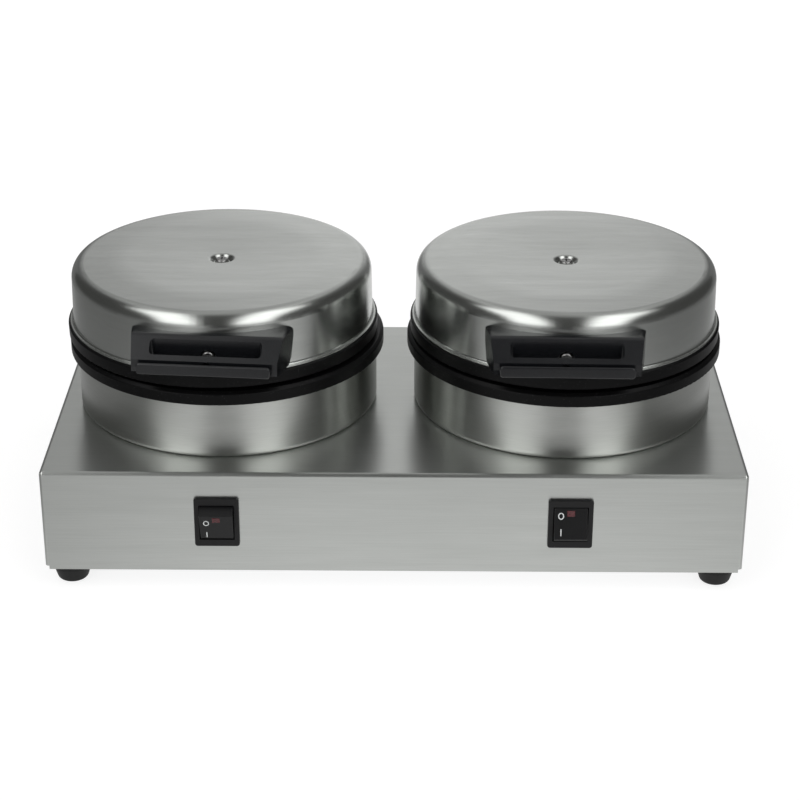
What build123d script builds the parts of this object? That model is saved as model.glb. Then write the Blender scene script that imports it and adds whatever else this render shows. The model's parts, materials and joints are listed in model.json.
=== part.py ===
from build123d import *
import math
import os

# Double waffle maker, in millimetres. +X right, +Z up, the front faces -Y.
# The origin is on the table, under the middle of the base.
# Heights of a cooking unit are measured from the base's top, and its depths from the unit's own axis.

# Base
base_width = 411.6
base_depth = 216.6
skirt_height = 64.2
sheet = 1.2
fold_radius = 2.2
flange_width = 20.0
corner_notch = (2.4, 2.2)
corner_relief = (0.8, 3.2)
corner_relief_inset = (1.5, 1.0, 1.6)
plate_inset = 3.0
plate_sheet = 1.0
plate_corner = 5.0
plate_screw = (3.4, 2.2, 1.55, 5.0)
plate_screw_x = 75.0
plate_screw_y = 35.0
air_slot = (46.0, 4.0)
air_slot_pitch = 11.0
foot_height = 11.3
foot_radius = 11.3
foot_inset_x = 13.9
foot_inset_y = 14.0
foot_well = (4.3, 6.5)
foot_screw = (3.9, 2.4, 2.0, 8.0)
foot_screw_hole = 2.1

# Cooking units
unit_x = 103.3
unit_y = 2.5
skin = 1.0
lower_shell_radius = 91.6
lower_shell_corner = 3.5
mount_hole = 4.2
mount_thread = 3.35
mount_depth = 17.0
mount_washer_sheet = 1.6
mount_head = (7.2, 5.3)
lead_hole = 8.0
lead_hole_y = 44.0
lower_band_radius = 96.0
lower_band_low = 36.1
lower_band_high = 44.6
upper_band_radius = 94.5
upper_band_low = 46.4
lid_edge_height = 54.4
lid_edge_radius = 93.3
lid_wall_radius = 91.4
lid_shoulder_radius = 8.0
lid_crown = 91.6
lid_dish_floor = 89.9
lid_dish_radius = 62.0
lid_dish_blend = 150.0
lid_screw_seat = 87.5
lid_dimple_radii = (7.5, 4.9)
lid_screw_sizes = (4.1, 2.4, 1.95, 14.0)
lid_lead_height = 68.0
lid_lead_hole = 6.0
lid_side_play = {"left": -2.2, "right": 0.3}

# Cooking plates
cavity_radius = 81.8
cavity_floor = 37.6
cavity_ceiling = 54.6
plate_floor = 5.4
pillar_radius = 9.0
boss_radius = 5.0
rim_gap = 0.3
moat_radius = 87.4
stud_pitch = 17.0
stud_base = 12.5
stud_height = 5.5
stud_draft = 15.0
stud_reach = 77.5

# Heating elements and their clamps
element_ring_radius = 58.0
element_tube_radius = 3.2
element_sweep = 320.0
element_bend = 6.0
element_tail = 6.0
element_start = 110.0
element_pin = (1.4, 14.0)
clamp_width = 16.0
clamp_sheet = 1.5
clamp_screw_radius = 74.0
clamp_screw = (3.6, 2.4, 1.65, 6.0)
clamp_turns = (90.0, 210.0, 330.0)
clamp_standoff = 2 * element_tube_radius + 0.2

# Hinges
hinge_reach = 102.0
hinge_height = 45.5
knuckle_radius = 6.0
knuckle_half_width = 13.7
ear_inner = 16.1
ear_width = 6.0
hinge_pin_radius = 3.0
knuckle_bore = 3.06
ear_bore = 3.02
pin_half_length = 25.5
clip_place = 23.4
clip_sheet = 0.9

# Handles: the first angle turns handle and screw about the lid's axis, the second skews the handle alone
handle_turn = {"left": -0.5, "right": -3.1}
handle_skew = {"left": -4.3, "right": 2.0}
handle_front = 112.2
handle_top = 79.6
handle_back = 70.0
handle_half_width = 47.4
handle_front_half_width = 41.2
lip_half_widths = (38.8, 38.1)
lip_top = 68.6
lip_bottom = 61.9
lip_root = 106.0
lip_groove = (107.6, 110.8)
lip_groove_floor = 64.6
handle_keel = 57.0
handle_crest = 94.0
pocket_back = 96.5
pocket_front = 104.7
pocket_half_width = 32.3
pocket_floor = 61.0
handle_screw_height = 66.5
handle_screw_head = (3.9, 2.4, 1.95)
handle_counterbore = (5.2, 2.6)
handle_screw_hole = 2.2
handle_nut_size = (13.0, 4.0, 11.0)
handle_nut_place = 86.5

# Switches
switch_x = 103.3
switch_height = 32.8
bezel_width = 26.3
bezel_height = 31.6
bezel_proud = 2.0
switch_opening = (20.5, 22.6)
switch_cutout = (22.0, 30.0)
switch_depth = 23.0
rocker_radius = 11.0
rocker_face = 5.9
rocker_width = 19.6
rocker_pivot_depth = 1.0
rocker_tilt = {"left": 18.0, "right": -18.0}
rocker_nub_radius = 1.5
lens_size = (4.6, 3.5)
lens_rise = 6.1

# Supply side
bushing_bore = 4.2
bushing_hole = 8.0
bushing_height = 24.0
terminal_size = (42.0, 16.0, 17.0)
terminal_ways = (-13.0, 0.0, 13.0)
terminal_y = 66.0
earth_stud_x = 52.0

half_width = base_width / 2
half_depth = base_depth / 2
skirt_bottom = foot_height + plate_sheet
base_top = skirt_bottom + skirt_height
screw_seat = pocket_back - handle_counterbore[1]
unit_side = {"left": -1, "right": 1}
edge_angle = math.degrees(math.acos(rocker_face / rocker_radius)) - abs(rocker_tilt["left"])
rocker_reach = half_depth - rocker_pivot_depth + rocker_radius * math.cos(math.radians(edge_angle))


def bar(x, y, z):
    """Box between three pairs of limits."""
    size = Box(x[1] - x[0], y[1] - y[0], z[1] - z[0])
    return Pos(sum(x) / 2, sum(y) / 2, sum(z) / 2) * size


def outline(corners, plane):
    """Closed outline; a corner is (across, up) or (across, up, rounding radius)."""
    points = [corner[:2] for corner in corners]
    radii = [corner[2] if len(corner) > 2 else 0 for corner in corners]
    return plane * make_face(FilletPolyline(*points, radius=radii, close=True))


def turned(*corners):
    """Solid of revolution about the vertical axis from (radius, height) corners."""
    return revolve(outline(corners, Plane.XZ), Axis.Z)


def along_y(radius, length):
    """Cylinder along Y, starting at the origin and running towards the front."""
    return Rot(90, 0, 0) * Cylinder(radius, length, align=(Align.CENTER, Align.CENTER, Align.MIN))


def upright(radius, low, high):
    """Vertical cylinder on the axis between two heights."""
    return Pos(0, 0, low) * Cylinder(radius, high - low, align=(Align.CENTER, Align.CENTER, Align.MIN))


def pan_screw(head_radius, head_height, shank_radius, length):
    """Cross-recess screw, the head above the origin and the shank below it."""
    head = turned((0, 0), (head_radius, 0), (head_radius, head_height, head_height * 0.6), (0, head_height))
    recess_length = head_radius * 1.1
    recess_width = head_radius * 0.22
    recess = Box(recess_length, recess_width, head_height) + Box(recess_width, recess_length, head_height)
    shank = upright(shank_radius, -length, 0)
    return head + shank - Pos(0, 0, head_height) * recess


def ring(outer, inner, low, high):
    """Flat ring about the vertical axis."""
    return upright(outer, low, high) - upright(inner, low, high)


def foot_places():
    """Centres of the feet, by name."""
    x = half_width - foot_inset_x
    y = half_depth - foot_inset_y
    return {"front_left": (-x, -y), "front_right": (x, -y), "rear_left": (-x, y), "rear_right": (x, y)}


def plate_screw_places():
    """Centres of the screws that hold the bottom plate to the flanges."""
    x_edge = half_width - flange_width / 2
    y_edge = half_depth - flange_width / 2
    sides = [(x, y) for x in (-x_edge, x_edge) for y in (-plate_screw_y, plate_screw_y)]
    ends = [(x, y) for x in (-plate_screw_x, plate_screw_x) for y in (-y_edge, y_edge)]
    return sides + ends


def base_shell():
    """Folded steel cover with a flange all round its lower edge."""
    outer = bar((-half_width, half_width), (-half_depth, half_depth), (skirt_bottom, base_top))
    upper = outer.edges().group_by(Axis.Z)[-1]
    outer = fillet(upper + outer.edges().filter_by(Axis.Z), fold_radius)
    inner_x = half_width - sheet
    inner_y = half_depth - sheet
    inner = bar((-inner_x, inner_x), (-inner_y, inner_y), (skirt_bottom + sheet, base_top - sheet))
    hole_x = half_width - flange_width
    hole_y = half_depth - flange_width
    shell = outer - inner - bar((-hole_x, hole_x), (-hole_y, hole_y), (0, skirt_bottom + sheet))
    for side_x in (-1, 1):
        for side_y in (-1, 1):
            corner = Pos(side_x * half_width, side_y * half_depth, 0)
            step = Box(2 * corner_notch[0], 2 * flange_width, 2 * corner_notch[1])
            shell -= corner * Pos(0, 0, skirt_bottom) * step
            relief = Rot(0, 90, 0) * Cylinder(*corner_relief)
            in_x, in_y, in_z = corner_relief_inset
            shell -= corner * Pos(-side_x * in_x, -side_y * in_y, base_top - in_z) * relief
    for side in unit_side.values():
        middle = Pos(side * unit_x, unit_y, base_top)
        shell -= middle * upright(mount_hole, -3, 3)
        shell -= middle * Pos(0, lead_hole_y, 0) * upright(lead_hole, -3, 3)
        cutout = Box(switch_cutout[0], 8, switch_cutout[1])
        shell -= Pos(side * switch_x, -half_depth, skirt_bottom + switch_height) * cutout
    shell -= Pos(0, half_depth + 4, skirt_bottom + bushing_height) * along_y(bushing_hole, 8)
    for x, y in foot_places().values():
        shell -= Pos(x, y, skirt_bottom) * upright(foot_screw_hole, -1, 3)
    for x, y in plate_screw_places():
        shell -= Pos(x, y, skirt_bottom) * upright(1.6, -1, 3)
    return shell


def bottom_plate():
    """Flat cover under the base, slotted for air below each unit."""
    x = half_width - plate_inset
    y = half_depth - plate_inset
    plate = bar((-x, x), (-y, y), (foot_height, skirt_bottom))
    plate = fillet(plate.edges().filter_by(Axis.Z), plate_corner)
    slot = extrude(SlotOverall(*air_slot), 3 * plate_sheet)
    for side in unit_side.values():
        for row in range(-3, 4):
            plate -= Pos(side * unit_x, row * air_slot_pitch, foot_height - plate_sheet) * slot
    for x, y in foot_places().values():
        plate -= Pos(x, y, foot_height) * upright(foot_screw_hole, -1, 3)
    for x, y in plate_screw_places():
        plate -= Pos(x, y, foot_height) * upright(1.7, -1, 3)
    return plate


def plate_screws():
    """Screws of the bottom plate, heads down."""
    screw = Rot(180, 0, 0) * pan_screw(*plate_screw)
    return Compound([Pos(x, y, foot_height) * screw for x, y in plate_screw_places()])


def foot():
    """Moulded rubber foot with a deep hole for its screw head."""
    body = turned(
        (0, 0),
        (foot_radius - 2.6, 0, 3.0),
        (foot_radius, foot_height - 2.5, 4.0),
        (foot_radius, foot_height),
        (0, foot_height),
    )
    well_radius, well_depth = foot_well
    return body - upright(well_radius, -1, well_depth) - upright(foot_screw_hole, 0, foot_height + 1)


def foot_screws():
    """Screws through the feet into the flanges."""
    screw = Rot(180, 0, 0) * pan_screw(*foot_screw)
    return Compound([Pos(x, y, foot_well[1]) * screw for x, y in foot_places().values()])


def cord_bushing():
    """Grip bushing in the rear panel that takes the supply cord."""
    head = rocker_reach - half_depth
    sleeve = turned(
        (bushing_bore, -9.5, 0.6),
        (7.0, -9.5, 0.8),
        (9.4, -3.2),
        (9.4, -sheet - 0.05),
        (bushing_hole - 0.1, -sheet - 0.05),
        (bushing_hole - 0.1, 0),
        (10.5, 0),
        (10.5, head * 0.45, 1.5),
        (7.6, head, 1.2),
        (bushing_bore, head, 0.8),
    )
    return Pos(0, half_depth, skirt_bottom + bushing_height) * Rot(-90, 0, 0) * sleeve


def terminal_block():
    """Three-way connector on the bottom plate."""
    width, depth, height = terminal_size
    block = Pos(0, 0, height / 2) * Box(width, depth, height)
    shelf = Pos(0, 0, height) * Box(width + 2, depth, height)
    block -= Pos(0, -0.8 * depth, 0) * shelf + Pos(0, 0.8 * depth, 0) * shelf
    for way in terminal_ways:
        block -= Pos(way, depth, height * 0.3) * along_y(2.2, 2 * depth)
        block -= Pos(way, 0, 0) * upright(2.0, height / 3, height + 1)
    return Pos(0, terminal_y, skirt_bottom) * fillet(block.edges().filter_by(Axis.Z), 0.8)


def earth_stud():
    """Protective earth stud on the bottom plate."""
    return Pos(earth_stud_x, terminal_y, skirt_bottom) * (upright(2.0, 0, 14) + upright(5.0, 0, 1.2))


def earth_nut():
    """Nut and washer on the earth stud."""
    nut = extrude(RegularPolygon(4.0, 6), 3.2) + ring(5.0, 2.05, -1.0, 0)
    return Pos(earth_stud_x, terminal_y, skirt_bottom + 4.2) * (nut - upright(2.05, -2, 5))


def lower_shell():
    """Drawn cup that carries the lower plate."""
    inner_radius = lower_shell_radius - skin
    shell = turned(
        (0, 0),
        (lower_shell_radius, 0, lower_shell_corner),
        (lower_shell_radius, lower_band_low),
        (inner_radius, lower_band_low),
        (inner_radius, skin, lower_shell_corner - skin),
        (0, skin),
    )
    shell -= upright(mount_hole, -1, 3)
    return shell - Pos(0, lead_hole_y, 0) * upright(lead_hole, -1, 3)


def waffle_studs():
    """Square pyramids of a plate, standing on the plane of the origin."""
    stud = extrude(Rectangle(stud_base, stud_base), stud_height, taper=stud_draft)
    half = stud_base / 2
    steps = [stud_pitch * (step + 0.5) for step in range(-4, 4)]
    places = [(x, y) for x in steps for y in steps if math.hypot(abs(x) + half, abs(y) + half) < stud_reach]
    return [Pos(x, y, 0) * stud for x, y in places]


def hinge_leaf(x_limits, arm_limits, bore):
    """Arm and eye of a hinge, reaching back from a cooking plate's band."""
    middle = (x_limits[0] + x_limits[1]) / 2
    width = x_limits[1] - x_limits[0]
    eye = Pos(middle, hinge_reach, hinge_height) * Rot(0, 90, 0) * Cylinder(knuckle_radius, width)
    arm = bar(x_limits, (89, hinge_reach - 2.5), arm_limits)
    hole = Pos(middle, hinge_reach, hinge_height) * Rot(0, 90, 0) * Cylinder(bore, width + 2)
    return eye + arm - hole


def clamp_bosses(face, height):
    """Cast bosses that the element clamp screws into."""
    low, high = sorted((face, face + height))
    boss = Pos(clamp_screw_radius, 0, 0) * ring(boss_radius, clamp_screw[2] + 0.05, low, high)
    return [Rot(0, 0, turn) * boss for turn in clamp_turns]


def lower_plate():
    """Cast lower cooking plate with its band, centre pillar and hinge ears."""
    back = cavity_floor - plate_floor
    rim_top = upper_band_low - rim_gap
    spigot = lower_shell_radius - skin - 0.3
    plate = turned(
        (0, cavity_floor),
        (cavity_radius - 2.8, cavity_floor, 1.5),
        (cavity_radius, rim_top, 0.4),
        (moat_radius - 0.8, rim_top, 0.4),
        (moat_radius, lower_band_high),
        (lower_band_radius - 2.0, lower_band_high, 0.6),
        (lower_band_radius, lower_band_high - 1.7, 0.8),
        (lower_band_radius, lower_band_low, 0.8),
        (spigot, lower_band_low),
        (spigot, back),
        (0, back),
    )
    studs = [Pos(0, 0, cavity_floor) * stud for stud in waffle_studs()]
    pillar = upright(pillar_radius, skin, back)
    ears = [
        hinge_leaf((ear_inner, ear_inner + ear_width), (lower_band_low + 2, lower_band_high), ear_bore),
        hinge_leaf((-ear_inner - ear_width, -ear_inner), (lower_band_low + 2, lower_band_high), ear_bore),
    ]
    plate = plate + studs + [pillar] + ears + clamp_bosses(back, -clamp_standoff)
    return plate - upright(mount_thread + 0.05, 0, mount_depth + 3)


def upper_plate():
    """Cast upper cooking plate with its band, hinge knuckle and clamp bosses."""
    back = cavity_ceiling + plate_floor
    spigot = lid_wall_radius - skin - 0.6
    plate = turned(
        (0, back),
        (spigot, back, 0.8),
        (spigot, lid_edge_height),
        (upper_band_radius, lid_edge_height, 1.0),
        (upper_band_radius - 0.2, upper_band_low, 0.7),
        (cavity_radius, upper_band_low, 0.4),
        (cavity_radius - 2.8, cavity_ceiling, 1.5),
        (0, cavity_ceiling),
    )
    studs = [Pos(0, 0, cavity_ceiling) * Rot(180, 0, 0) * stud for stud in waffle_studs()]
    knuckle_width = (-knuckle_half_width, knuckle_half_width)
    knuckle = hinge_leaf(knuckle_width, (upper_band_low, lid_edge_height - 2), knuckle_bore)
    plate = plate + studs + [knuckle] + clamp_bosses(back, clamp_standoff)
    return plate - upright(mount_thread + 0.05, back - 3, back + 1)


def heating_element():
    """Sheathed ring lying on the plane of the origin, its two tails turned up."""
    section = Plane.XZ * Pos(element_ring_radius, element_tube_radius + 0.1) * Circle(element_tube_radius)
    middle = element_tube_radius + 0.1
    body = Rot(0, 0, element_start) * revolve(section, Axis.Z, revolution_arc=element_sweep)
    pin_radius, pin_length = element_pin
    for end, way in ((element_start, -1), (element_start + element_sweep, 1)):
        bend_axis = Axis((0, 0, middle + element_bend), (1, 0, 0))
        bend = revolve(section, bend_axis, revolution_arc=90 * way)
        tail = upright(element_tube_radius, 0, element_tail) + upright(pin_radius, 0, pin_length)
        tail = Pos(element_ring_radius, way * element_bend, middle + element_bend) * tail
        body = body + Rot(0, 0, end) * (bend + tail)
    return body


def element_clamp():
    """Flat ring with three ears that presses an element against its plate."""
    inner = element_ring_radius - clamp_width / 2
    outer = element_ring_radius + clamp_width / 2
    clamp = ring(outer, inner, 0, clamp_sheet)
    for turn in clamp_turns:
        ear = bar((outer - 3, clamp_screw_radius), (-6, 6), (0, clamp_sheet))
        eye = Pos(clamp_screw_radius, 0, 0) * upright(6, 0, clamp_sheet)
        clamp += Rot(0, 0, turn) * (ear + eye)
    for turn in clamp_turns:
        clamp -= Rot(0, 0, turn) * Pos(clamp_screw_radius, 0, 0) * upright(2.1, -1, 3)
    opening = Box(0.75 * clamp_width, 22, 6)
    for end in (element_start, element_start + element_sweep):
        clamp -= Rot(0, 0, end) * Pos(element_ring_radius, 0, 0) * opening
    return clamp


def clamp_screws():
    """Three screws of one clamp, on the plane of the origin."""
    screw = pan_screw(*clamp_screw)
    return [Rot(0, 0, turn) * Pos(clamp_screw_radius, 0, 0) * screw for turn in clamp_turns]


def disc_sensor(radius, height, blade_gap):
    """Snap-disc control with a flange and two blade terminals, standing on the plane of the origin."""
    body = upright(radius, 0, height) + upright(radius + 2.5, 0, 1.2)
    body = body + bar((-radius - 6, radius + 6), (-3.5, 3.5), (0, 0.8))
    for side in (-1, 1):
        body = body + Pos(side * blade_gap, 0, height + 4) * Box(0.8, 6.3, 8)
    return body


def lid_skin(inset):
    """Filled form of the lid's drawn cover, drawn in all round by a sheet's thickness."""
    wall = lid_wall_radius - inset
    rim, seat = lid_dimple_radii
    return turned(
        (0, lid_edge_height),
        (wall + 0.1, lid_edge_height),
        (wall - 0.6, lid_crown - 1.3 - inset, lid_shoulder_radius - inset),
        (lid_dish_radius, lid_crown - inset, lid_dish_blend),
        (rim + inset, lid_dish_floor - inset, 2.2),
        (seat + inset / 2, lid_screw_seat - inset, 0.8),
        (0, lid_screw_seat - inset),
    )


def lid_edge():
    """Flared edge of the lid, resting on the upper band."""
    return turned(
        (lid_wall_radius - skin, lid_edge_height),
        (lid_edge_radius, lid_edge_height, 0.3),
        (lid_edge_radius, lid_edge_height + skin, 0.3),
        (lid_wall_radius + 0.1, lid_edge_height + skin + 0.3, 1.3),
        (lid_wall_radius - 0.1, lid_edge_height + 6),
        (lid_wall_radius - skin, lid_edge_height + 6),
    )


def handle_frame(side):
    """Place of the handle's screw, turned about the lid's axis."""
    return Rot(0, 0, handle_turn[side]) * Pos(0, 0, handle_screw_height)


def lid_shell(side):
    """Drawn steel cover of the lid."""
    shell = lid_skin(0) - lid_skin(skin) + lid_edge()
    shell -= upright(2.3, lid_screw_seat - 5, lid_screw_seat + 5)
    shell -= handle_frame(side) * Pos(0, -80, 0) * along_y(handle_screw_hole, 20)
    return shell - Pos(0, lid_wall_radius + 8, lid_lead_height) * along_y(lid_lead_hole, 20)


def lid_envelope():
    """Space that the lid and the upper band take, with the gap that the handle keeps to them."""
    gap = 0.1
    return turned(
        (0, 40),
        (upper_band_radius + 0.3, 40),
        (upper_band_radius + 0.3, lid_edge_height + skin + 0.4, 0.4),
        (lid_wall_radius + gap + 0.1, lid_edge_height + skin + 1.8),
        (lid_wall_radius + gap - 0.6, lid_crown - 1.3 + gap, lid_shoulder_radius),
        (0, lid_crown + gap),
    )


def handle_section():
    """Side view of the handle's body: back, underside, front, slope and rounded top."""
    corners = (
        (handle_back, handle_top),
        (handle_back, handle_keel),
        (lip_groove[0] + 0.4, lip_bottom),
        (lip_groove[0], lip_groove_floor),
        (lip_groove[0] + 0.6, lip_top, 1.2),
        (handle_crest, handle_top, 5.0),
    )
    facing_left = Plane(origin=(-handle_half_width, 0, 0), x_dir=(0, -1, 0), z_dir=(-1, 0, 0))
    return extrude(outline(corners, facing_left), -2 * handle_half_width)


def handle_front_view():
    """Front view of the handle: rounded top corners and slightly tapered sides."""
    low_half_width = handle_half_width - 2.1
    corners = (
        (-handle_half_width, handle_top, 4.0),
        (handle_half_width, handle_top, 4.0),
        (low_half_width, handle_keel, 4.0),
        (-low_half_width, handle_keel, 4.0),
    )
    return extrude(outline(corners, Plane.XZ), handle_front + 2)


def handle_plan():
    """Plan of the handle: sides that draw together towards the front."""
    corners = (
        (-handle_half_width, -handle_back),
        (handle_half_width, -handle_back),
        (handle_front_half_width, -handle_front),
        (-handle_front_half_width, -handle_front),
    )
    return extrude(outline(corners, Plane.XY), handle_top + 1)


def handle_lip():
    """Front lip of the handle with a rounded rim."""
    wide, narrow = lip_half_widths
    corners = ((-wide, lip_top, 2.2), (wide, lip_top, 2.2), (narrow, lip_bottom, 1.6), (-narrow, lip_bottom, 1.6))
    lip = Pos(0, -lip_root, 0) * extrude(outline(corners, Plane.XZ), handle_front - lip_root)
    return fillet(lip.faces().sort_by(Axis.Y)[0].edges(), 0.8)


def handle_hollows():
    """Groove behind the lip and screw pocket in the slope."""
    groove = bar((-50, 50), (-lip_groove[1], -lip_groove[0]), (lip_groove_floor, lip_top + 1))
    pocket_width = (-pocket_half_width, pocket_half_width)
    pocket = bar(pocket_width, (-pocket_front, -pocket_back), (pocket_floor, handle_top + 10))
    pocket = fillet(pocket.edges().filter_by(Axis.Z), 2.5)
    return groove + pocket


def handle(side):
    """Moulded handle: sloping top with a pocket, and a front lip to lift it by."""
    blank = handle_section() & handle_front_view() & handle_plan()
    body = blank + handle_lip() - handle_hollows()
    pivot = Pos(0, -lid_wall_radius, 0)
    body = Rot(0, 0, handle_turn[side]) * pivot * Rot(0, 0, handle_skew[side]) * pivot.inverse() * body
    head_hole = Pos(0, -screw_seat, 0) * along_y(handle_counterbore[0], 8)
    screw_hole = Pos(0, -80, 0) * along_y(handle_screw_hole, 30) + head_hole
    return body - handle_frame(side) * screw_hole - lid_envelope()


def handle_screw(side):
    """Screw in the handle's pocket, its head towards the front."""
    screw = pan_screw(*handle_screw_head, screw_seat - 84)
    return handle_frame(side) * Pos(0, -screw_seat, 0) * Rot(90, 0, 0) * screw


def handle_nut(side):
    """Square nut plate behind the lid's wall."""
    nut = Pos(0, -handle_nut_place, 0) * Box(*handle_nut_size)
    return handle_frame(side) * (nut - Pos(0, -80, 0) * along_y(handle_screw_head[2] + 0.05, 10))


def lid_post():
    """Spacer between the upper plate and the middle of the lid."""
    back = cavity_ceiling + plate_floor
    post = Pos(0, 0, back) * extrude(RegularPolygon(6.5, 6), lid_screw_seat - skin - back)
    post = post + upright(mount_thread, back - 2.8, back)
    return post - upright(lid_screw_sizes[2] + 0.05, lid_screw_seat - skin - 16, lid_screw_seat)


def lid_screw():
    """Screw in the dimple of the lid."""
    return Pos(0, 0, lid_screw_seat) * pan_screw(*lid_screw_sizes)


def lid_grommet():
    """Rubber grommet in the lid's rear wall, where its supply leads pass."""
    flange = lid_lead_hole + 1.2
    neck = lid_lead_hole - 0.1
    bore = lid_lead_hole / 2
    grommet = turned(
        (bore, -2.8, 0.8),
        (flange, -2.8, 0.8),
        (flange, -0.9),
        (neck, -0.9),
        (neck, 0.7),
        (flange, 0.7),
        (flange, 2.6, 1.0),
        (bore, 2.6, 0.8),
    )
    return Pos(0, lid_wall_radius - skin / 2 - 0.15, lid_lead_height) * Rot(-90, 0, 0) * grommet


def shell_grommet():
    """Grommet through the base's top and the lower shell's floor."""
    flange = lead_hole + 2
    neck = lead_hole - 0.1
    bore = lead_hole / 2
    grommet = turned(
        (bore, -sheet - 1.6, 0.6),
        (flange, -sheet - 1.6, 0.6),
        (flange, -sheet - 0.05),
        (neck, -sheet - 0.05),
        (neck, skin + 0.05),
        (flange, skin + 0.05),
        (flange, skin + 1.6, 0.6),
        (bore, skin + 1.6, 0.6),
    )
    return Pos(0, lead_hole_y, 0) * grommet


def mount_bolt():
    """Bolt that holds a unit to the base, from below."""
    radius, height = mount_head
    seat = -sheet - mount_washer_sheet
    head = Pos(0, 0, seat - height) * extrude(RegularPolygon(radius, 6), height)
    return head + upright(mount_thread, seat, mount_depth)


def mount_washer():
    """Washer under the mount bolt's head."""
    return ring(mount_head[0] + 0.8, mount_hole, -sheet - mount_washer_sheet, -sheet)


def hinge_pin():
    """Pin with a groove near each end."""
    pin = Rot(0, 90, 0) * Cylinder(hinge_pin_radius, 2 * pin_half_length)
    pin = chamfer(pin.edges(), 0.5)
    for side in (-1, 1):
        groove = ring(hinge_pin_radius + 1, 2.35, -clip_sheet / 2 - 0.05, clip_sheet / 2 + 0.05)
        pin -= Pos(side * clip_place, 0, 0) * Rot(0, 90, 0) * groove
    return Pos(0, hinge_reach, hinge_height) * pin


def hinge_clips():
    """Retaining clips in the grooves of a hinge pin."""
    clip = ring(5.4, 2.4, -clip_sheet / 2, clip_sheet / 2) - bar((0, 8), (-1.5, 1.5), (-2, 2))
    return [Pos(side * clip_place, hinge_reach, hinge_height) * Rot(0, 90, 0) * clip for side in (-1, 1)]


def switch_body():
    """Switch housing with its bezel, about the rocker's pivot."""
    panel = -rocker_pivot_depth
    bezel_x = bezel_width / 2
    bezel_z = bezel_height / 2
    bezel = bar((-bezel_x, bezel_x), (panel - bezel_proud, panel), (-bezel_z, bezel_z))
    bezel = fillet(bezel.edges().filter_by(Axis.Y), 1.7)
    bezel = fillet(bezel.faces().sort_by(Axis.Y)[0].edges(), 0.7)
    body_x = switch_cutout[0] / 2 - 0.1
    body_z = switch_cutout[1] / 2 - 0.1
    body = bar((-body_x, body_x), (panel, panel + switch_depth), (-body_z, body_z))
    open_x = switch_opening[0] / 2
    open_z = switch_opening[1] / 2
    mouth = bar((-open_x, open_x), (panel - bezel_proud - 1, 0), (-open_z, open_z))
    drum = Rot(0, 90, 0) * Cylinder(open_z, 2 * open_x)
    nubs = Rot(0, 90, 0) * Cylinder(rocker_nub_radius + 0.06, 2 * body_x + 4)
    blades = [
        Pos(x, panel + switch_depth + 3.5, z) * Box(0.8, 9, 6.3) for x in (-6, 6) for z in (-10, 0, 10)
    ]
    return bezel + body + blades - mouth - drum - nubs


def rocker():
    """Flat-faced rocker about its pivot, its face towards the front before it is tilted."""
    drum = Rot(0, 90, 0) * Cylinder(rocker_radius, rocker_width)
    front = bar((-20, 20), (-30, -rocker_face), (-20, 20))
    rear = bar((-20, 20), (2.6, 30), (-20, 20))
    body = drum - front - rear
    body = fillet(body.faces().sort_by(Axis.Y)[0].edges(), 0.5)
    nub = Rot(0, 90, 0) * Cylinder(rocker_nub_radius, switch_cutout[0] - 0.4)
    seat = Pos(0, -rocker_face, lens_rise) * Box(lens_size[0], 1.6, lens_size[1])
    return body + nub - seat


def switch_lens():
    """Lens of the pilot lamp, let into the rocker's face."""
    x = lens_size[0] / 2
    z = lens_size[1] / 2
    lens = bar((-x, x), (-rocker_face - 0.25, -rocker_face + 0.8), (lens_rise - z, lens_rise + z))
    return fillet(lens.faces().sort_by(Axis.Y)[0].edges(), 0.2)


def write(name, shape):
    """One node, one file."""
    solids = shape if isinstance(shape, list) else shape.solids()
    whole = Compound([solid for item in solids for solid in item.solids()])
    export_step(whole, f"parts/{name}.step")


def on_base(side):
    """Place of a unit's axis on the base's top."""
    return Pos(unit_side[side] * unit_x, unit_y, base_top)


def on_lid(side):
    """Place of a lid's axis, a little off its lower half within the hinge's side play."""
    return on_base(side) * Pos(lid_side_play[side], 0, 0)


def under_plate(side):
    """Underside of a lower plate, with up pointing down into the housing."""
    return on_base(side) * Pos(0, 0, cavity_floor - plate_floor) * Rot(180, 0, 0)


def in_switch(side):
    """Place of a rocker's pivot."""
    return Pos(unit_side[side] * switch_x, -half_depth + rocker_pivot_depth, skirt_bottom + switch_height)


def write_base():
    """Nodes of the base that the two units share."""
    write("base_shell", base_shell())
    write("bottom_plate", bottom_plate())
    write("bottom_plate_screws", plate_screws())
    for name, (x, y) in foot_places().items():
        write(f"foot_{name}", Pos(x, y, 0) * foot())
    write("foot_screws", foot_screws())
    write("cord_bushing", cord_bushing())
    write("terminal_block", terminal_block())
    write("earth_stud", earth_stud())
    write("earth_nut", earth_nut())
    write("mount_bolts", [on_base(side) * mount_bolt() for side in unit_side])
    write("mount_washers", [on_base(side) * mount_washer() for side in unit_side])
    write("hinge_clips", [on_base(side) * clip for side in unit_side for clip in hinge_clips()])
    seated = [Pos(0, 0, clamp_standoff + clamp_sheet) * screw for screw in clamp_screws()]
    write("lower_clamp_screws", [under_plate(side) * screw for side in unit_side for screw in seated])


def write_lower_half(side):
    """Nodes of one unit that stand on the base."""
    under_clamp = under_plate(side) * Pos(0, 0, clamp_standoff)
    write(f"{side}_lower_shell", on_base(side) * lower_shell())
    write(f"{side}_lower_plate", on_base(side) * lower_plate())
    write(f"{side}_lower_element", under_plate(side) * heating_element())
    write(f"{side}_lower_clamp", under_clamp * element_clamp())
    write(f"{side}_thermostat", under_plate(side) * Pos(-28, 0, 0.1) * disc_sensor(8.0, 12.0, 3.5))
    write(f"{side}_thermal_cutout", under_plate(side) * Pos(28, 0, 0.1) * disc_sensor(6.0, 8.0, 3.0))
    write(f"{side}_shell_grommet", on_base(side) * shell_grommet())
    write(f"{side}_hinge_pin", on_base(side) * hinge_pin())


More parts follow.
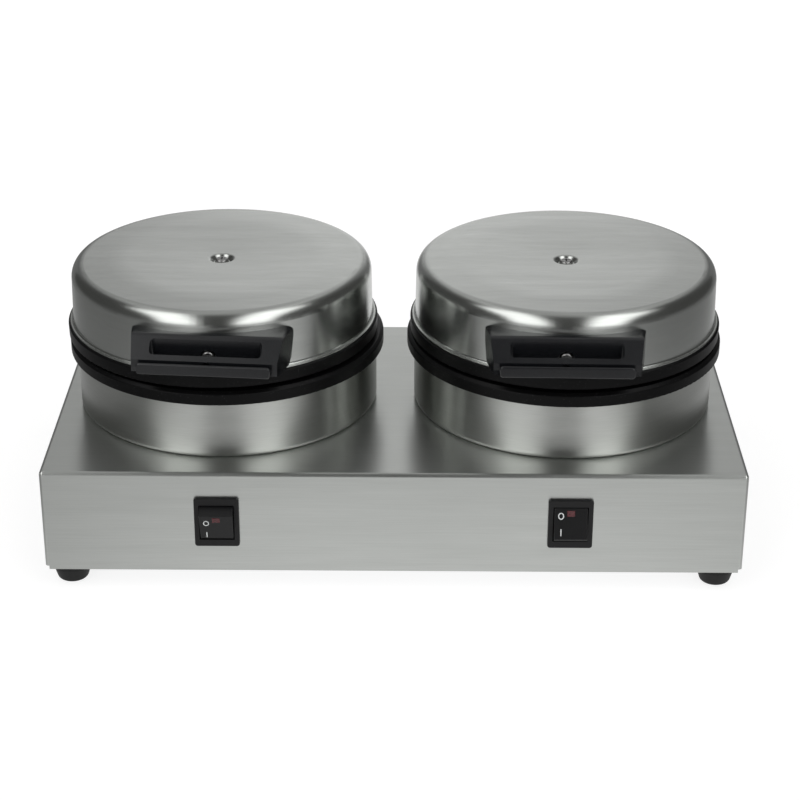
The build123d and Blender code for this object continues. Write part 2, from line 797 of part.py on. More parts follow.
def write_lid(side):
    """Nodes of one unit that swing with its lid."""
    over_plate = on_lid(side) * Pos(0, 0, cavity_ceiling + plate_floor)
    over_clamp = over_plate * Pos(0, 0, clamp_standoff)
    write(f"{side}_upper_plate", on_lid(side) * upper_plate())
    write(f"{side}_upper_element", over_plate * heating_element())
    write(f"{side}_upper_clamp", over_clamp * element_clamp())
    seated = over_clamp * Pos(0, 0, clamp_sheet)
    write(f"{side}_upper_clamp_screws", [seated * screw for screw in clamp_screws()])
    write(f"{side}_lid_shell", on_lid(side) * lid_shell(side))
    write(f"{side}_lid_post", on_lid(side) * lid_post())
    write(f"{side}_lid_screw", on_lid(side) * lid_screw())
    write(f"{side}_lid_grommet", on_lid(side) * lid_grommet())
    write(f"{side}_handle", on_lid(side) * handle(side))
    write(f"{side}_handle_screw", on_lid(side) * handle_screw(side))
    write(f"{side}_handle_nut", on_lid(side) * handle_nut(side))


def write_switch(side):
    """Nodes of one switch."""
    tilted = in_switch(side) * Rot(rocker_tilt[side], 0, 0)
    write(f"{side}_switch_body", in_switch(side) * switch_body())
    write(f"{side}_rocker", tilted * rocker())
    write(f"{side}_switch_lens", tilted * switch_lens())


os.makedirs("parts", exist_ok=True)
write_base()
for side in unit_side:
    write_lower_half(side)
    write_lid(side)
    write_switch(side)
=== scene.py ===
import json
import math

import bmesh
import bpy
from mathutils import Matrix, Vector


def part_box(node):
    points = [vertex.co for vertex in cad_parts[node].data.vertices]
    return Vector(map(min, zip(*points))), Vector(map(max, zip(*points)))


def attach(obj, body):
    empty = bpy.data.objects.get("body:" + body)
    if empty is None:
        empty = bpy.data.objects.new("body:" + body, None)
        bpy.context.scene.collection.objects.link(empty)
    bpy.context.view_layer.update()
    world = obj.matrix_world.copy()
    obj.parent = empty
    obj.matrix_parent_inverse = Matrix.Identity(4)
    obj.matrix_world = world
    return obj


# Double waffle maker: finishes, small printed marks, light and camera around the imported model.
# Metres, same frame as the model: +X right, +Y to the rear, +Z up, the table at zero.

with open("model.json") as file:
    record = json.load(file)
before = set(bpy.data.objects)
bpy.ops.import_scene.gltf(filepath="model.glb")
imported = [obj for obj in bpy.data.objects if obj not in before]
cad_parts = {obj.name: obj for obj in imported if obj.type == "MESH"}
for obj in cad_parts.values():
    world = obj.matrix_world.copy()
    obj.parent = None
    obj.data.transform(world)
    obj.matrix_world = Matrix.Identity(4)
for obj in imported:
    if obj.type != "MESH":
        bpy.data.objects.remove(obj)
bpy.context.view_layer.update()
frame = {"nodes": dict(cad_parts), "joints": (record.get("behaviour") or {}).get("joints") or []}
nodes = frame["nodes"]
sides = ("left", "right")
mm = 0.001
print("stage: frame loaded,", len(nodes), "nodes")


# Node helpers

number, arrow = "NodeSocketFloat", "NodeSocketVector"
mixSockets = {"FLOAT": (2, 3, 0), "VECTOR": (4, 5, 1), "RGBA": (6, 7, 2)}  # a mix node's two inputs and its output


def addNode(tree, kind, **settings):
    node = tree.nodes.new(kind)
    for name, value in settings.items():
        setattr(node, name, value)
    return node


def feed(tree, socket, value):
    if hasattr(value, "is_linked"):
        tree.links.new(value, socket)
    elif isinstance(value, (tuple, list)) and socket.type == "RGBA":
        socket.default_value = (*value, 1)
    else:
        socket.default_value = value


def calc(tree, operation, *values):
    node = addNode(tree, "ShaderNodeMath", operation=operation)
    for socket, value in zip(node.inputs, values):
        feed(tree, socket, value)
    return node.outputs[0]


def sumOf(tree, *values):
    total = values[0]
    for value in values[1:]:
        total = calc(tree, "ADD", total, value)
    return total


def ramp(tree, value, fromLow, fromHigh, toLow=0.0, toHigh=1.0, smooth=False):
    node = addNode(tree, "ShaderNodeMapRange", interpolation_type="SMOOTHSTEP" if smooth else "LINEAR")
    names = ("Value", "From Min", "From Max", "To Min", "To Max")
    for name, given in zip(names, (value, fromLow, fromHigh, toLow, toHigh)):
        feed(tree, node.inputs[name], given)
    return node.outputs["Result"]


def blend(tree, kind, amount, first, second):
    node = addNode(tree, "ShaderNodeMix", data_type=kind)
    one, two, mixed = mixSockets[kind]
    feed(tree, node.inputs[0], amount)
    feed(tree, node.inputs[one], first)
    feed(tree, node.inputs[two], second)
    return node.outputs[mixed]


def vector(tree, x, y, z):
    node = addNode(tree, "ShaderNodeCombineXYZ")
    for socket, value in zip(node.inputs, (x, y, z)):
        feed(tree, socket, value)
    return node.outputs[0]


def split(tree, value):
    node = addNode(tree, "ShaderNodeSeparateXYZ")
    feed(tree, node.inputs[0], value)
    return node.outputs[0], node.outputs[1], node.outputs[2]


def vectorCalc(tree, operation, first, second):
    node = addNode(tree, "ShaderNodeVectorMath", operation=operation)
    feed(tree, node.inputs[0], first)
    feed(tree, node.inputs[1], second)
    return node.outputs["Vector"]


def noise(tree, place, scale, detail=2.0, rough=0.5, extra=None):
    node = addNode(tree, "ShaderNodeTexNoise", noise_dimensions="3D" if extra is None else "4D")
    feed(tree, node.inputs["Vector"], place)
    feed(tree, node.inputs["Scale"], scale)
    if extra is not None:
        feed(tree, node.inputs["W"], extra)
    node.inputs["Detail"].default_value = detail
    node.inputs["Roughness"].default_value = rough
    return node.outputs["Fac"]


def objectPlace(tree):
    return addNode(tree, "ShaderNodeTexCoord").outputs["Object"]


def newGroup(name, inputs, outputs):
    tree = bpy.data.node_groups.new(name, "ShaderNodeTree")
    for label, kind, value in inputs:
        tree.interface.new_socket(label, in_out="INPUT", socket_type=kind).default_value = value
    for label, kind in outputs:
        tree.interface.new_socket(label, in_out="OUTPUT", socket_type=kind)
    return tree, addNode(tree, "NodeGroupInput").outputs, addNode(tree, "NodeGroupOutput").inputs


def useGroup(tree, group, values):
    node = addNode(tree, "ShaderNodeGroup", node_tree=group)
    for name, value in values.items():
        feed(tree, node.inputs[name], value)
    return node.outputs


# Shared effects, each a node group that puts out values

grainLook = {  # lines counts per metre across the grain, length counts changes per metre along it
    "lines": 2600.0, "length": 30.0, "rough": 0.6, "core": 0.5 * mm,
    "sideFrom": 0.6, "sideTo": 0.8,  # how far a face looks sideways where its lines turn to run along Y
    "layers": {
        "Streaks": {"turns": 7.0, "across": 1.0, "along": 1.0, "detail": 3.0},
        "Bands": {"turns": 1.6, "across": 0.05, "along": 0.3, "detail": 2.0},
    },
}


def roundGrainGroup():  # lines that run round a vertical axis, as on a spun or drawn cover
    look = grainLook
    tree, given, made = newGroup(
        "roundGrain",
        [("Axis Place", arrow, (0, 0, 0)), ("Lines", number, look["lines"])],
        [(label, number) for label in look["layers"]],
    )
    x, y, z = split(tree, vectorCalc(tree, "SUBTRACT", objectPlace(tree), given["Axis Place"]))
    radius = calc(tree, "SQRT", calc(tree, "ADD", calc(tree, "MULTIPLY", x, x), calc(tree, "MULTIPLY", y, y)))
    reach = calc(tree, "MAXIMUM", radius, look["core"])
    turnX, turnY = calc(tree, "DIVIDE", x, reach), calc(tree, "DIVIDE", y, reach)
    outward, upward = calc(tree, "MULTIPLY", radius, given["Lines"]), calc(tree, "MULTIPLY", z, given["Lines"])
    for label, layer in look["layers"].items():
        around = vector(
            tree,
            calc(tree, "MULTIPLY", turnX, layer["turns"]),
            calc(tree, "MULTIPLY", turnY, layer["turns"]),
            calc(tree, "MULTIPLY", outward, layer["across"]),
        )
        lift = calc(tree, "MULTIPLY", upward, layer["across"])
        tree.links.new(noise(tree, around, 1.0, layer["detail"], look["rough"], lift), made[label])
    return tree


def flatGrainGroup():  # lines along X, or along Y on faces that look sideways, as on rolled sheet
    look = grainLook
    tree, given, made = newGroup(
        "flatGrain",
        [("Lines", number, look["lines"]), ("Length", number, look["length"])],
        [(label, number) for label in look["layers"]],
    )
    facing = addNode(tree, "ShaderNodeNewGeometry").outputs["Normal"]
    sideways = ramp(tree, calc(tree, "ABSOLUTE", split(tree, facing)[0]), look["sideFrom"], look["sideTo"])
    x, y, z = split(tree, objectPlace(tree))
    along, other = blend(tree, "FLOAT", sideways, x, y), blend(tree, "FLOAT", sideways, y, x)
    for label, layer in look["layers"].items():
        lines = calc(tree, "MULTIPLY", given["Lines"], layer["across"])
        place = vector(
            tree,
            calc(tree, "MULTIPLY", along, calc(tree, "MULTIPLY", given["Length"], layer["along"])),
            calc(tree, "MULTIPLY", other, lines),
            calc(tree, "MULTIPLY", z, lines),
        )
        tree.links.new(noise(tree, place, 1.0, layer["detail"], look["rough"]), made[label])
    return tree


speckleLook = {
    "grit": 900.0, "gritDetail": 3.0, "gritRough": 0.65,
    "flecks": 420.0, "share": 0.2, "dotCore": 0.16, "dotEdge": 0.36,
}


def speckleGroup():  # fine grit and sparse paler flecks, as in a sprayed non-stick coat or a moulded texture
    look = speckleLook
    tree, given, made = newGroup(
        "speckle",
        [("Grit", number, look["grit"]), ("Flecks", number, look["flecks"]), ("Fleck Share", number, look["share"])],
        [("Relief", number), ("Fleck Mask", number)],
    )
    place = objectPlace(tree)
    tree.links.new(noise(tree, place, given["Grit"], look["gritDetail"], look["gritRough"]), made["Relief"])
    cells = addNode(tree, "ShaderNodeTexVoronoi", feature="F1")
    feed(tree, cells.inputs["Vector"], place)
    feed(tree, cells.inputs["Scale"], given["Flecks"])
    chosen = calc(tree, "LESS_THAN", split(tree, cells.outputs["Color"])[0], given["Fleck Share"])
    dot = ramp(tree, cells.outputs["Distance"], look["dotCore"], look["dotEdge"], 1.0, 0.0, smooth=True)
    tree.links.new(calc(tree, "MULTIPLY", chosen, dot), made["Fleck Mask"])
    return tree


handlingLook = {
    "patch": 14.0, "strength": 0.05, "middle": 0.5,  # noise averages to its middle, which is taken off
    "broadShare": 0.7, "broadDetail": 3.0, "broadRough": 0.55,
    "fineShare": 0.3, "fineScale": 7.0, "fineDetail": 2.0, "fineRough": 0.5,
}


def handlingGroup():  # broad faint unevenness left by wiping and handling
    look = handlingLook
    tree, given, made = newGroup(
        "handling",
        [("Patch", number, look["patch"]), ("Strength", number, look["strength"])],
        [("Change", number)],
    )
    place = objectPlace(tree)
    finer = calc(tree, "MULTIPLY", given["Patch"], look["fineScale"])
    broad = noise(tree, place, given["Patch"], look["broadDetail"], look["broadRough"])
    fine = noise(tree, place, finer, look["fineDetail"], look["fineRough"])
    mixed = sumOf(
        tree,
        calc(tree, "MULTIPLY", broad, look["broadShare"]),
        calc(tree, "MULTIPLY", fine, look["fineShare"]),
    )
    centred = calc(tree, "SUBTRACT", mixed, look["middle"])
    tree.links.new(calc(tree, "MULTIPLY", centred, given["Strength"]), made["Change"])
    return tree


roundGrain, flatGrain = roundGrainGroup(), flatGrainGroup()
speckle, handling = speckleGroup(), handlingGroup()
print("stage: shared node groups made")


# Materials

def newMaterial(name):
    material = bpy.data.materials.new(name)
    material.use_nodes = True
    tree = material.node_tree
    return material, tree, tree.nodes["Principled BSDF"]


def bumpFrom(tree, shader, height, distance):
    node = addNode(tree, "ShaderNodeBump")
    node.inputs["Strength"].default_value = 1.0
    node.inputs["Distance"].default_value = distance
    feed(tree, node.inputs["Height"], height)
    tree.links.new(node.outputs["Normal"], shader.inputs["Normal"])


def gritRoughness(tree, relief, handled, middle, spread):  # relief runs from 0 to 1, so half its spread comes off
    return sumOf(tree, calc(tree, "MULTIPLY", relief, spread), handled, middle - spread / 2)


steelLook = {
    "lid": {"dark": (0.50, 0.515, 0.495), "pale": (0.565, 0.58, 0.56), "rough": 0.235, "stretch": 0.85},
    "cup": {"dark": (0.46, 0.47, 0.45), "pale": (0.53, 0.54, 0.52), "rough": 0.31, "stretch": 0.9},
    "flat": {"dark": (0.52, 0.535, 0.515), "pale": (0.585, 0.60, 0.58), "rough": 0.31, "stretch": 0.74},
    "roughSpread": 0.045, "lineDepth": 0.0012 * mm, "patch": 16.0, "wiping": 0.08,
    "streakShare": 0.65, "bandShare": 0.35, "toneFrom": 0.3, "toneTo": 0.7,
    "topFrom": 0.80, "topTo": 0.97, "tangentTilt": 0.02, "quarterTurn": 0.25,
}


def steelMaterial(name, kind="flat", centre=None):
    look, sheet = steelLook, steelLook[kind]
    material, tree, shader = newMaterial(name)
    straight = useGroup(tree, flatGrain, {"Lines": grainLook["lines"], "Length": grainLook["length"]})
    streaks, bands = straight["Streaks"], straight["Bands"]
    tangent = vector(tree, 1.0, look["tangentTilt"], 0.0)
    # A drawn wall is polished round its axis and a flat top straight across. Which one shows is picked by how far
    # the face looks up in the room, so it holds for a closed lid, and an open lid's top shows the round lines.
    if centre is not None:
        curved = useGroup(tree, roundGrain, {"Axis Place": centre, "Lines": grainLook["lines"]})
        around = addNode(tree, "ShaderNodeTangent", direction_type="RADIAL", axis="Z").outputs[0]
        upward = split(tree, addNode(tree, "ShaderNodeNewGeometry").outputs["Normal"])[2]
        onTop = ramp(tree, upward, look["topFrom"], look["topTo"], smooth=True)
        streaks = blend(tree, "FLOAT", onTop, curved["Streaks"], streaks)
        bands = blend(tree, "FLOAT", onTop, curved["Bands"], bands)
        tangent = blend(tree, "VECTOR", onTop, around, tangent)
    wiped = useGroup(tree, handling, {"Patch": look["patch"], "Strength": look["wiping"]})["Change"]
    tone = sumOf(
        tree,
        calc(tree, "MULTIPLY", streaks, look["streakShare"]),
        calc(tree, "MULTIPLY", bands, look["bandShare"]),
        wiped,
    )
    spread = ramp(tree, tone, look["toneFrom"], look["toneTo"])
    tree.links.new(blend(tree, "RGBA", spread, sheet["dark"], sheet["pale"]), shader.inputs["Base Color"])
    half = look["roughSpread"] / 2
    rough = ramp(tree, tone, look["toneFrom"], look["toneTo"], sheet["rough"] + half, sheet["rough"] - half)
    tree.links.new(rough, shader.inputs["Roughness"])
    shader.inputs["Metallic"].default_value = 1.0
    shader.inputs["Anisotropic"].default_value = sheet["stretch"]
    shader.inputs["Anisotropic Rotation"].default_value = look["quarterTurn"]
    tree.links.new(tangent, shader.inputs["Tangent"])
    bumpFrom(tree, shader, streaks, look["lineDepth"])
    return material


castingLook = {
    "coat": (0.003, 0.003, 0.0032), "fleck": (0.022, 0.022, 0.023), "rough": 0.38, "roughSpread": 0.18, "shine": 0.13,
    "grit": 1500.0, "flecks": 900.0, "share": 0.12, "depth": 0.02 * mm, "fleckRise": 0.5,
    "patch": 22.0, "wear": 0.16,
}


def castingMaterial():
    look = castingLook
    material, tree, shader = newMaterial("speckledCoat")
    spots = useGroup(tree, speckle, {"Grit": look["grit"], "Flecks": look["flecks"], "Fleck Share": look["share"]})
    worn = useGroup(tree, handling, {"Patch": look["patch"], "Strength": look["wear"]})["Change"]
    relief, flecks = spots["Relief"], spots["Fleck Mask"]
    tree.links.new(blend(tree, "RGBA", flecks, look["coat"], look["fleck"]), shader.inputs["Base Color"])
    rough = gritRoughness(tree, relief, worn, look["rough"], look["roughSpread"])
    tree.links.new(rough, shader.inputs["Roughness"])
    shader.inputs["Specular IOR Level"].default_value = look["shine"]
    height = sumOf(tree, relief, calc(tree, "MULTIPLY", flecks, look["fleckRise"]))
    bumpFrom(tree, shader, height, look["depth"])
    return material


mouldedLooks = {
    "blackPhenolic": {
        "base": (0.006, 0.0065, 0.0078), "pale": (0.009, 0.0096, 0.0114),
        "rough": 0.22, "grit": 1500.0, "depth": 0.0001 * mm, "shine": 0.62,
    },
    "switchPlastic": {
        "base": (0.004, 0.004, 0.0045), "pale": (0.007, 0.007, 0.0075),
        "rough": 0.36, "grit": 2600.0, "depth": 0.012 * mm, "shine": 0.3,
    },
    "blackRubber": {
        "base": (0.006, 0.006, 0.006), "pale": (0.013, 0.013, 0.013),
        "rough": 0.58, "grit": 1400.0, "depth": 0.015 * mm, "shine": 0.35,
    },
    "blackNylon": {
        "base": (0.012, 0.012, 0.012), "pale": (0.022, 0.022, 0.022),
        "rough": 0.5, "grit": 1600.0, "depth": 0.015 * mm, "shine": 0.5,
    },
    "whiteNylon": {
        "base": (0.62, 0.61, 0.57), "pale": (0.74, 0.73, 0.69),
        "rough": 0.48, "grit": 1200.0, "depth": 0.01 * mm, "shine": 0.5,
    },
    "whitePrint": {
        "base": (0.66, 0.68, 0.68), "pale": (0.78, 0.8, 0.8),
        "rough": 0.5, "grit": 3000.0, "depth": 0.004 * mm, "shine": 0.5,
    },
}
mouldedFeel = {"metallic": 0.0, "patch": 30.0, "touch": 0.18, "toneFrom": 0.3, "toneTo": 0.75, "roughSpread": 0.08}

metalLooks = {
    "platedSteel": {
        "base": (0.56, 0.56, 0.56), "pale": (0.70, 0.70, 0.69), "rough": 0.2, "grit": 900.0, "depth": 0.006 * mm,
    },
    "screwSteel": {
        "base": (0.26, 0.26, 0.255), "pale": (0.36, 0.36, 0.355), "rough": 0.33, "grit": 900.0, "depth": 0.006 * mm,
    },
    "zincSheet": {
        "base": (0.42, 0.43, 0.44), "pale": (0.58, 0.59, 0.60), "rough": 0.38, "grit": 160.0, "depth": 0.004 * mm,
    },
    "elementSheath": {
        "base": (0.10, 0.085, 0.075), "pale": (0.20, 0.17, 0.15), "rough": 0.46, "grit": 500.0, "depth": 0.01 * mm,
    },
    "turnedBrass": {
        "base": (0.62, 0.42, 0.15), "pale": (0.78, 0.56, 0.24), "rough": 0.26, "grit": 1200.0, "depth": 0.004 * mm,
    },
}
metalFeel = {"metallic": 1.0, "patch": 60.0, "touch": 0.2, "toneFrom": 0.3, "toneTo": 0.7, "roughSpread": 0.12}


def grittyMaterial(name, look, feel):  # fine grit with faint patches from handling
    material, tree, shader = newMaterial(name)
    relief = useGroup(tree, speckle, {"Grit": look["grit"]})["Relief"]
    touched = useGroup(tree, handling, {"Patch": feel["patch"], "Strength": feel["touch"]})["Change"]
    tone = ramp(tree, sumOf(tree, relief, touched), feel["toneFrom"], feel["toneTo"])
    tree.links.new(blend(tree, "RGBA", tone, look["base"], look["pale"]), shader.inputs["Base Color"])
    rough = gritRoughness(tree, relief, touched, look["rough"], feel["roughSpread"])
    tree.links.new(rough, shader.inputs["Roughness"])
    shader.inputs["Metallic"].default_value = feel["metallic"]
    if "shine" in look:
        shader.inputs["Specular IOR Level"].default_value = look["shine"]
    bumpFrom(tree, shader, relief, look["depth"])
    return material


def moulded(name):
    return grittyMaterial(name, mouldedLooks[name], mouldedFeel)


def metal(name):
    return grittyMaterial(name, metalLooks[name], metalFeel)


lensLook = {
    "deep": (0.05, 0.003, 0.006), "pale": (0.11, 0.007, 0.011), "toneFrom": 0.2, "toneTo": 0.8,
    "ridges": 1300.0, "ridgeShare": 0.25, "depth": 0.03 * mm,
    "cloud": 900.0, "cloudFrom": 0.3, "cloudTo": 0.7, "roughFrom": 0.15, "roughTo": 0.28,
}


def lensMaterial():
    look = lensLook
    material, tree, shader = newMaterial("redLens")
    place = objectPlace(tree)
    ridge = calc(tree, "SINE", calc(tree, "MULTIPLY", split(tree, place)[0], look["ridges"] * math.tau))
    cloudy = noise(tree, place, look["cloud"])
    tone = sumOf(tree, calc(tree, "MULTIPLY", ridge, look["ridgeShare"]), cloudy)
    colour = blend(tree, "RGBA", ramp(tree, tone, look["toneFrom"], look["toneTo"]), look["deep"], look["pale"])
    tree.links.new(colour, shader.inputs["Base Color"])
    rough = ramp(tree, cloudy, look["cloudFrom"], look["cloudTo"], look["roughFrom"], look["roughTo"])
    tree.links.new(rough, shader.inputs["Roughness"])
    bumpFrom(tree, shader, ridge, look["depth"])
    return material


def middleOf(node):
    low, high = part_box(node)
    return (low + high) / 2


def dress(material, *names):
    for name in names:
        slots = nodes[name].data.materials
        slots.clear()
        slots.append(material)


def onBoth(*names):
    return [f"{side}_{name}" for side in sides for name in names]


dress(steelMaterial("brushedSheet"), "base_shell")
for side in sides:
    for part, kind in (("lower_shell", "cup"), ("lid_shell", "lid")):
        centre = middleOf(f"{side}_{part}")
        dress(steelMaterial(f"{side}{kind.title()}Steel", kind, (centre.x, centre.y, 0)), f"{side}_{part}")
dress(castingMaterial(), *onBoth("lower_plate", "upper_plate"))
dress(moulded("blackPhenolic"), *onBoth("handle"))
dress(moulded("switchPlastic"), *onBoth("switch_body", "rocker"))
feet = [f"foot_{end}_{side}" for end in ("front", "rear") for side in sides]
dress(moulded("blackRubber"), *feet, *onBoth("lid_grommet", "shell_grommet"))
dress(moulded("blackNylon"), "cord_bushing")
dress(moulded("whiteNylon"), "terminal_block")
dress(
    metal("platedSteel"),
    "foot_screws", "bottom_plate_screws", "mount_bolts", "mount_washers", "hinge_clips", "lower_clamp_screws",
    "earth_stud",
    *onBoth("hinge_pin", "handle_nut", "lid_post", "upper_clamp_screws", "thermostat", "thermal_cutout"),
)
dress(metal("screwSteel"), *onBoth("lid_screw", "handle_screw"))
dress(metal("zincSheet"), "bottom_plate", *onBoth("lower_clamp", "upper_clamp"))
dress(metal("elementSheath"), *onBoth("lower_element", "upper_element"))
dress(metal("turnedBrass"), "earth_nut")
dress(lensMaterial(), *onBoth("switch_lens"))
print("stage: materials on the packed parts")


# Printed marks on the rockers

markLook = {
    "across": -5.8 * mm, "face": 5.9 * mm, "thick": 0.04 * mm, "sunk": 0.005 * mm,
    "ringUp": {"left": 3.5 * mm, "right": 4.6 * mm}, "barUp": {"left": -6.0 * mm, "right": -5.1 * mm},
    "ringWide": 3.5 * mm, "ringTall": 4.1 * mm, "stroke": 0.62 * mm, "barTall": 4.3 * mm,
    "tilt": {"left": 18.0, "right": -18.0},
}


def ringOutline(wide, tall, steps=48):
    return [
        (wide / 2 * math.cos(math.tau * step / steps), tall / 2 * math.sin(math.tau * step / steps))
        for step in range(steps)
    ]


def barOutline(wide, tall, steps=6):
    radius = wide / 2
    points = []
    for end, start in ((tall / 2 - radius, 0.0), (radius - tall / 2, math.pi)):
        for step in range(steps + 1):
            turn = start + math.pi * step / steps
            points.append((radius * math.cos(turn), end + radius * math.sin(turn)))
    return points


def markMesh(name, outer, inner, thick):
    mesh = bpy.data.meshes.new(name)
    shape = bmesh.new()
    loops = []
    for outline in (outer, inner):
        if outline:
            loops.append([[shape.verts.new((x, y, z)) for x, z in outline] for y in (0.0, -thick)])
    for back, front in loops:
        for step in range(len(back)):
            after = (step + 1) % len(back)
            shape.faces.new((back[step], back[after], front[after], front[step]))
    for layer in (0, 1):  # back face, then front face
        outside = loops[0][layer]
        if inner is None:
            shape.faces.new(outside)
            continue
        inside = loops[1][layer]
        for step in range(len(outside)):
            after = (step + 1) % len(outside)
            shape.faces.new((outside[step], outside[after], inside[after], inside[step]))
    bmesh.ops.recalc_face_normals(shape, faces=shape.faces)
    shape.to_mesh(mesh)
    shape.free()
    return mesh


def addMarks(side, material):
    look = markLook
    joint = next(j for j in frame["joints"] if j["name"] == f"{side}_rocker_tilt")
    face = Matrix.Translation(joint["pos_m"]) @ Matrix.Rotation(math.radians(look["tilt"][side]), 4, "X")
    stroke, wide, tall = look["stroke"], look["ringWide"], look["ringTall"]
    ring = (ringOutline(wide, tall), ringOutline(wide - 2 * stroke, tall - 2 * stroke))
    bar = (barOutline(stroke, look["barTall"]), None)
    for name, (outer, inner), up in (("off_mark", ring, look["ringUp"][side]), ("on_mark", bar, look["barUp"][side])):
        mark = bpy.data.objects.new(f"{side}_{name}", markMesh(f"{side}_{name}", outer, inner, look["thick"]))
        bpy.context.scene.collection.objects.link(mark)
        mark.matrix_world = face @ Matrix.Translation((look["across"], look["sunk"] - look["face"], up))
        mark.data.materials.append(material)
        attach(mark, f"{side}_rocker")


whitePrint = moulded("whitePrint")
for side in sides:
    addMarks(side, whitePrint)
print("stage: switch marks placed")


# Sweep: floor that curves up into a backdrop

sweepLook = {
    "halfWidth": 1.6, "front": -2.4, "bend": 1.3, "radius": 0.7, "top": 2.1, "steps": 24,
    "paper": (0.86, 0.86, 0.86), "glow": 0.82, "shadeShare": 0.36,
}

mirrorLook = {  # how bright the sweep shows in reflections; places are in metres
    "dim": 0.19, "least": 0.03, "floor": 0.70, "back": 0.75, "middle": 0.03,
    "highFrom": 0.1, "highTo": 0.6, "farFrom": -0.5, "farTo": -1.1,
    "fadeFrom": 0.05, "floorFade": 0.53, "backFade": 1.2,
    "gap": 0.98, "gapPlace": 0.0, "gapFrom": 0.12, "gapTo": 0.32, "gapFar": -0.45, "gapNear": -0.37,
    "dull": 0.35, "dullFrom": 1.1, "dullTo": 1.7,
}


def mirrorLevel(tree):  # fades to the sides and up high, with a darker gap in front
    look = mirrorLook
    x, y, z = split(tree, objectPlace(tree))
    far = ramp(tree, y, look["farFrom"], look["farTo"])
    high = calc(tree, "MAXIMUM", ramp(tree, z, look["highFrom"], look["highTo"]), far)
    sideEnd = ramp(tree, high, 0.0, 1.0, look["floorFade"], look["backFade"])
    aside = calc(tree, "ABSOLUTE", calc(tree, "SUBTRACT", x, look["middle"]))
    fade = ramp(tree, aside, look["fadeFrom"], sideEnd, 1.0, 0.0, smooth=True)
    level = ramp(tree, high, 0.0, 1.0, look["floor"], look["back"])
    dulled = ramp(tree, z, look["dullFrom"], look["dullTo"], 1.0, look["dull"], smooth=True)
    level = calc(tree, "MULTIPLY", level, dulled)
    off = calc(tree, "ABSOLUTE", calc(tree, "SUBTRACT", x, look["gapPlace"]))
    gapSide = ramp(tree, off, look["gapFrom"], look["gapTo"], look["gap"], 0.0, smooth=True)
    gapDepth = ramp(tree, y, look["gapFar"], look["gapNear"], 1.0, 0.0, smooth=True)
    gap = calc(tree, "MULTIPLY", gapSide, gapDepth)
    lit = calc(tree, "MULTIPLY", fade, calc(tree, "SUBTRACT", level, gap))
    return calc(tree, "MAXIMUM", calc(tree, "ADD", lit, look["dim"]), look["least"])


def sweepPaper():
    look = sweepLook
    material = bpy.data.materials.new("sweepPaper")
    material.use_nodes = True
    tree = material.node_tree
    tree.nodes.clear()
    paper = addNode(tree, "ShaderNodeBsdfDiffuse")
    feed(tree, paper.inputs["Color"], look["paper"])
    glow = addNode(tree, "ShaderNodeEmission")
    glow.inputs["Strength"].default_value = look["glow"]
    faint = addNode(tree, "ShaderNodeBsdfDiffuse")
    feed(tree, faint.inputs["Color"], tuple(value * look["shadeShare"] for value in look["paper"]))
    white = addNode(tree, "ShaderNodeAddShader")  # what the camera sees: white paper that still takes the shadow
    tree.links.new(glow.outputs[0], white.inputs[0])
    tree.links.new(faint.outputs[0], white.inputs[1])
    mirrored = addNode(tree, "ShaderNodeEmission")
    feed(tree, mirrored.inputs["Strength"], mirrorLevel(tree))
    path = addNode(tree, "ShaderNodeLightPath").outputs
    shown = paper.outputs[0]
    for ray, layer in (("Is Glossy Ray", mirrored), ("Is Transmission Ray", mirrored), ("Is Camera Ray", white)):
        mixed = addNode(tree, "ShaderNodeMixShader")
        tree.links.new(path[ray], mixed.inputs[0])
        tree.links.new(shown, mixed.inputs[1])
        tree.links.new(layer.outputs[0], mixed.inputs[2])
        shown = mixed.outputs[0]
    tree.links.new(shown, addNode(tree, "ShaderNodeOutputMaterial").inputs["Surface"])
    return material


def addSweep():
    look = sweepLook
    line = [(look["front"], 0.0), (0.0, 0.0)]
    for step in range(look["steps"] + 1):
        turn = math.pi / 2 * step / look["steps"]
        line.append((look["bend"] + look["radius"] * math.sin(turn), look["radius"] * (1 - math.cos(turn))))
    line.append((look["bend"] + look["radius"], look["top"]))
    shape = bmesh.new()
    rows = [[shape.verts.new((x * look["halfWidth"], y, z)) for x in (-1, 1)] for y, z in line]
    for first, second in zip(rows, rows[1:]):
        shape.faces.new((first[0], first[1], second[1], second[0])).smooth = True
    mesh = bpy.data.meshes.new("sweep")
    shape.to_mesh(mesh)
    shape.free()
    mesh.materials.append(sweepPaper())
    sweep = bpy.data.objects.new("sweep", mesh)
    bpy.context.scene.collection.objects.link(sweep)


addSweep()
print("stage: sweep laid")


# Studio light: a dim room, two large soft panels in front to the left and right, and a weak glow overhead

roomLook = {
    "dim": (0.075, 0.075, 0.073),
    "overhead": {"power": 0.42, "sideFrom": 0.28, "sideTo": 0.60, "frontFrom": 76.0, "frontTo": 106.0},
    "panels": [  # degrees; lean is 0 straight ahead and 90 overhead
        {"side": -29.0, "halfSide": 14.0, "lean": 48.0, "halfLean": 48.0, "soft": 7.0, "power": 1.9},
        {"side": 27.0, "halfSide": 13.5, "lean": 48.0, "halfLean": 48.0, "soft": 7.0, "power": 2.0},
    ],
}


def panelLight(tree, side, lean, panel):
    edges = []
    for angle, place, half in ((side, panel["side"], panel["halfSide"]), (lean, panel["lean"], panel["halfLean"])):
        inside = calc(tree, "SUBTRACT", half, calc(tree, "ABSOLUTE", calc(tree, "SUBTRACT", angle, place)))
        edges.append(ramp(tree, inside, -panel["soft"], panel["soft"], smooth=True))
    return calc(tree, "MULTIPLY", calc(tree, "MULTIPLY", *edges), panel["power"])


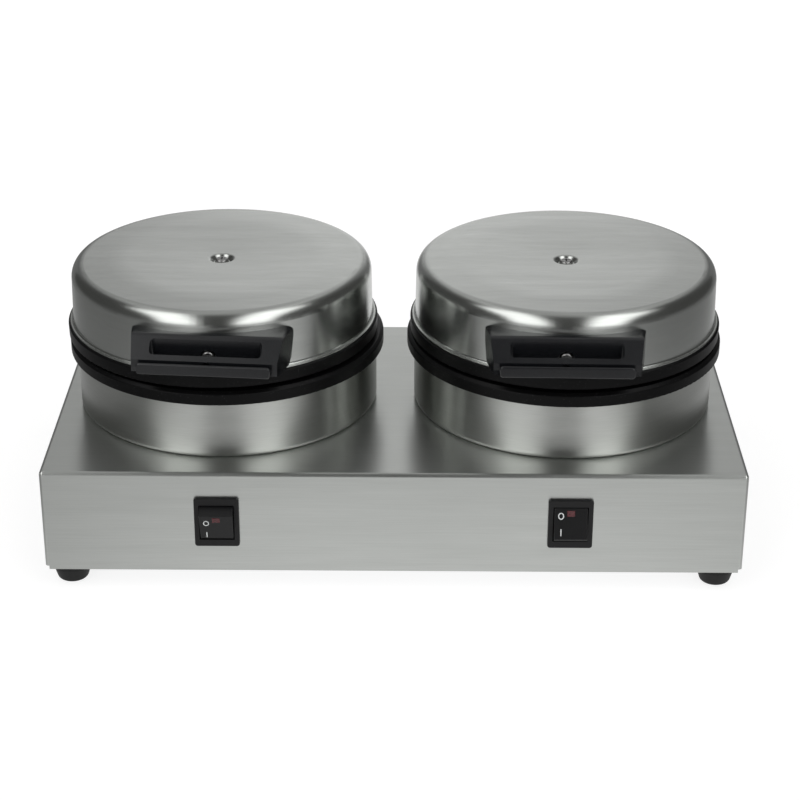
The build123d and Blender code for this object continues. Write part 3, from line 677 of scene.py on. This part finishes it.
def addRoom():
    look = roomLook
    world = bpy.data.worlds.new("studio")
    bpy.context.scene.world = world
    world.use_nodes = True
    tree = world.node_tree
    background = tree.nodes["Background"]
    x, y, z = split(tree, addNode(tree, "ShaderNodeTexCoord").outputs["Generated"])
    side = calc(tree, "DEGREES", calc(tree, "ARCSINE", x))
    lean = calc(tree, "DEGREES", calc(tree, "ARCTAN2", z, calc(tree, "MULTIPLY", y, -1.0)))
    glow = look["overhead"]
    across = ramp(tree, calc(tree, "ABSOLUTE", x), glow["sideFrom"], glow["sideTo"], glow["power"], 0.0, smooth=True)
    behind = ramp(tree, lean, glow["frontFrom"], glow["frontTo"], smooth=True)
    panels = [panelLight(tree, side, lean, panel) for panel in look["panels"]]
    total = sumOf(tree, calc(tree, "MULTIPLY", across, behind), *panels)
    level = vector(tree, total, total, total)
    tree.links.new(vectorCalc(tree, "ADD", level, look["dim"]), background.inputs["Color"])
    white = addNode(tree, "ShaderNodeBackground")  # what the camera sees past the sweep's edges
    feed(tree, white.inputs["Color"], (1.0, 1.0, 1.0))
    mixed = addNode(tree, "ShaderNodeMixShader")
    tree.links.new(addNode(tree, "ShaderNodeLightPath").outputs["Is Camera Ray"], mixed.inputs[0])
    tree.links.new(background.outputs[0], mixed.inputs[1])
    tree.links.new(white.outputs[0], mixed.inputs[2])
    tree.links.new(mixed.outputs[0], tree.nodes["World Output"].inputs["Surface"])


addRoom()
print("stage: studio light set")


# Camera at the photograph's angle

cameraLook = {
    "place": (9.631 * mm, -1195.036 * mm, 638.236 * mm), "lens": 95.178, "sensor": 36.0, "near": 0.05, "far": 30.0,
    "down": 25.3196, "turned": -0.3197, "rolled": -0.1626,
}


def addCamera():
    look = cameraLook
    data = bpy.data.cameras.new("camera")
    data.lens, data.sensor_width, data.sensor_fit = look["lens"], look["sensor"], "HORIZONTAL"
    data.clip_start, data.clip_end = look["near"], look["far"]
    camera = bpy.data.objects.new("camera", data)
    bpy.context.scene.collection.objects.link(camera)
    pitch, yaw = math.radians(look["down"]), math.radians(look["turned"])
    ahead = Vector((math.sin(yaw) * math.cos(pitch), math.cos(yaw) * math.cos(pitch), -math.sin(pitch)))
    level = ahead.cross(Vector((0, 0, 1))).normalized()
    right = Matrix.Rotation(math.radians(look["rolled"]), 3, ahead) @ level
    up = right.cross(ahead)
    turn = Matrix((right, up, -ahead)).transposed().to_4x4()
    camera.matrix_world = Matrix.Translation(look["place"]) @ turn
    bpy.context.scene.camera = camera
    return camera


camera = addCamera()
bpy.context.scene.view_settings.view_transform = "Standard"
print("stage: camera placed", [round(value, 5) for value in camera.matrix_world.to_3x3().col[0]])
